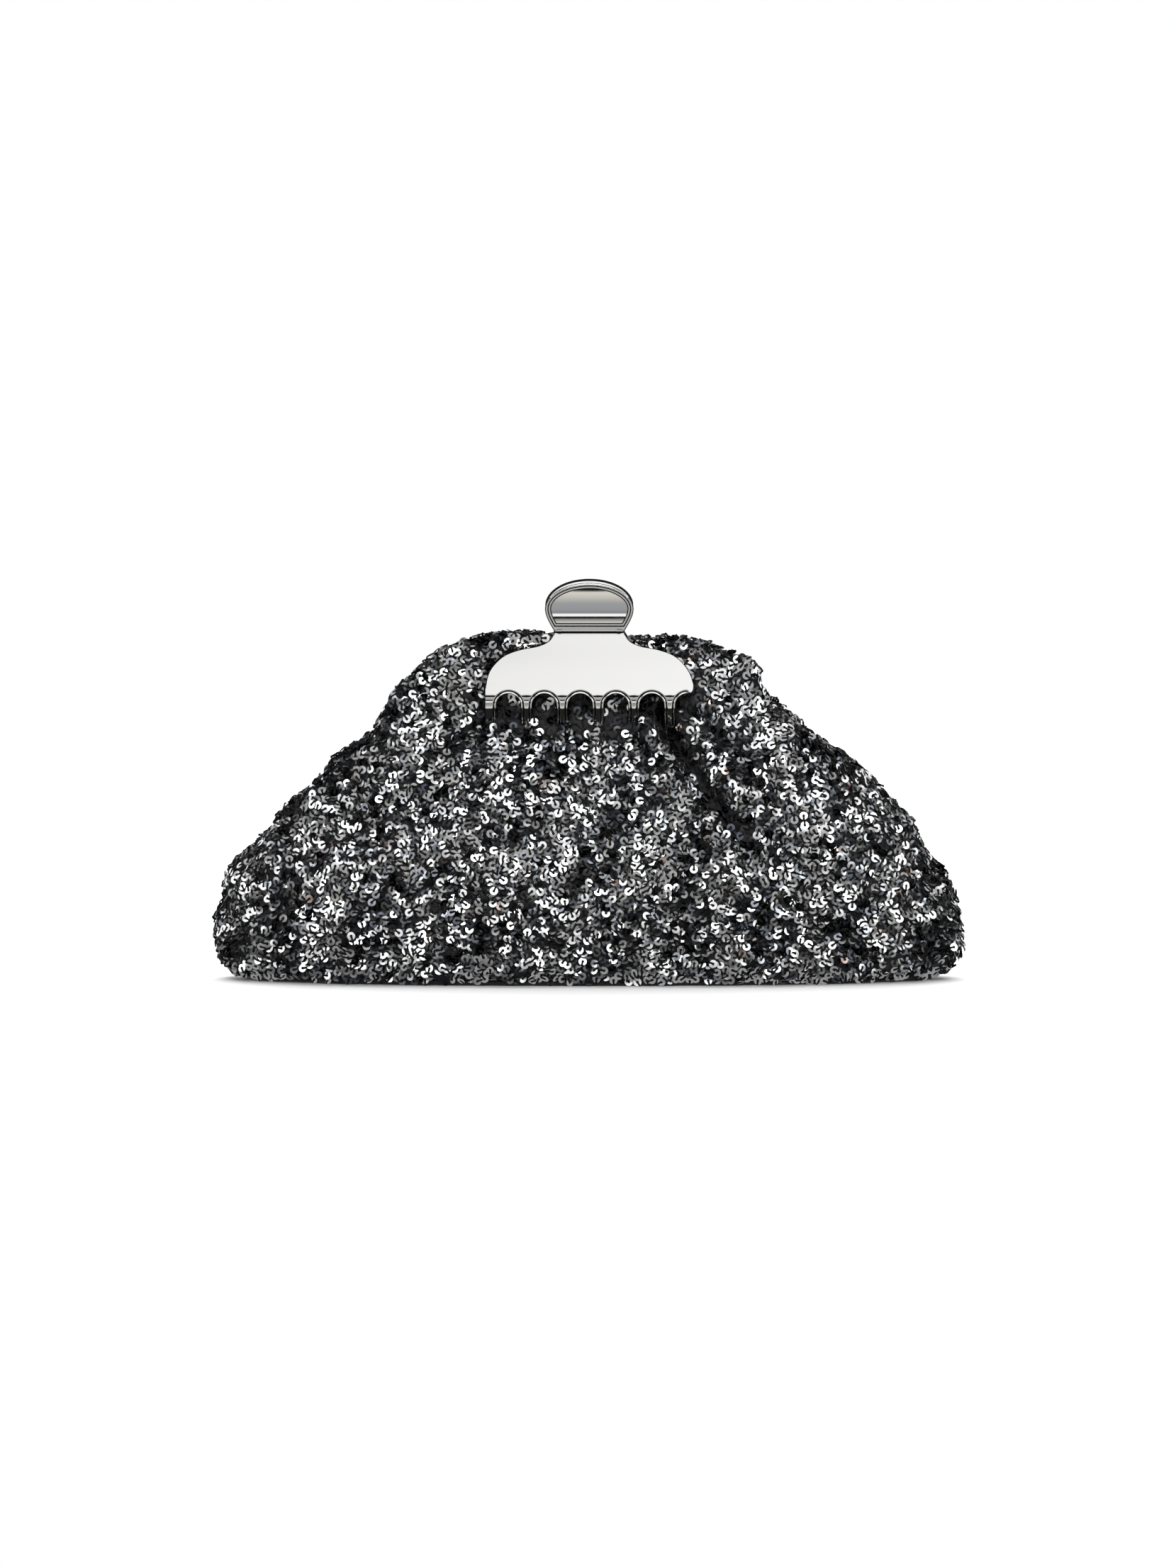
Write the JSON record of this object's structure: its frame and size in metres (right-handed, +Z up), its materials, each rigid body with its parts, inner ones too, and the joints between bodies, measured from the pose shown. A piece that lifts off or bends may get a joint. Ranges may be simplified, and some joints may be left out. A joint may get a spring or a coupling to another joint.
{
  "type": "evening bag",
  "caption": "Sequinned evening pouch on a flat base, tapering up to a mouth clamped shut by a sprung metal claw clip.",
  "frame": {"origin": "centre of the bounding box on the plane the bag stands on", "axes": "+X along the width to the bag's right as seen from the front, +Y to the rear, +Z up"},
  "size_m": [0.29, 0.068, 0.1534],
  "materials": {
    "sequin_fabric": "silver cup sequins and black yarn over a black ground cloth",
    "lining_fabric": "matt black woven lining",
    "frame_steel": "nickel plated, satin",
    "polished_metal": "polished, palladium colour plating",
    "spring_steel": "bright drawn wire",
    "base_board": "stiff fibre board"
  },
  "bodies": {
    "bag_body": {"outer_front_panel": "sequin_fabric", "outer_rear_panel": "sequin_fabric", "outer_base_panel": "sequin_fabric", "base_board": "base_board", "lining_base": "lining_fabric", "lining_front": "lining_fabric", "lining_rear": "lining_fabric", "facing_rear": "lining_fabric", "rear_half_frame": "frame_steel", "frame_rivet_left": "frame_steel", "frame_rivet_right": "frame_steel", "rear_jaw": "polished_metal", "hinge_pin": "spring_steel", "pin_cap_left": "polished_metal", "pin_cap_right": "polished_metal", "torsion_spring": "spring_steel", "clip_screw_1": "frame_steel", "clip_screw_2": "frame_steel", "clip_screw_3": "frame_steel", "clip_screw_4": "frame_steel"},
    "front_mouth": {"outer_front_mouth_panel": "sequin_fabric", "facing_front": "lining_fabric", "front_half_frame": "frame_steel"},
    "front_jaw": {"front_jaw": "polished_metal"}
  },
  "joints": [
    {"name": "jaw_hinge", "type": "hinge", "parent": "bag_body", "child": "front_jaw", "pos_m": [0, 0, 0.14], "axis": [-1, 0, 0], "range_deg": [0, 60], "stiffness_Nm_per_rad": 0.06, "springref_deg": -40.11, "deforming": ["torsion_spring"]},
    {"name": "mouth_hinge", "type": "hinge", "parent": "bag_body", "child": "front_mouth", "pos_m": [0, 0, 0.11], "axis": [1, 0, 0], "range_deg": [0, 24]}
  ],
  "couplings": [
    {"joint": "mouth_hinge", "follows": "jaw_hinge", "ratio": 0.4}
  ]
}
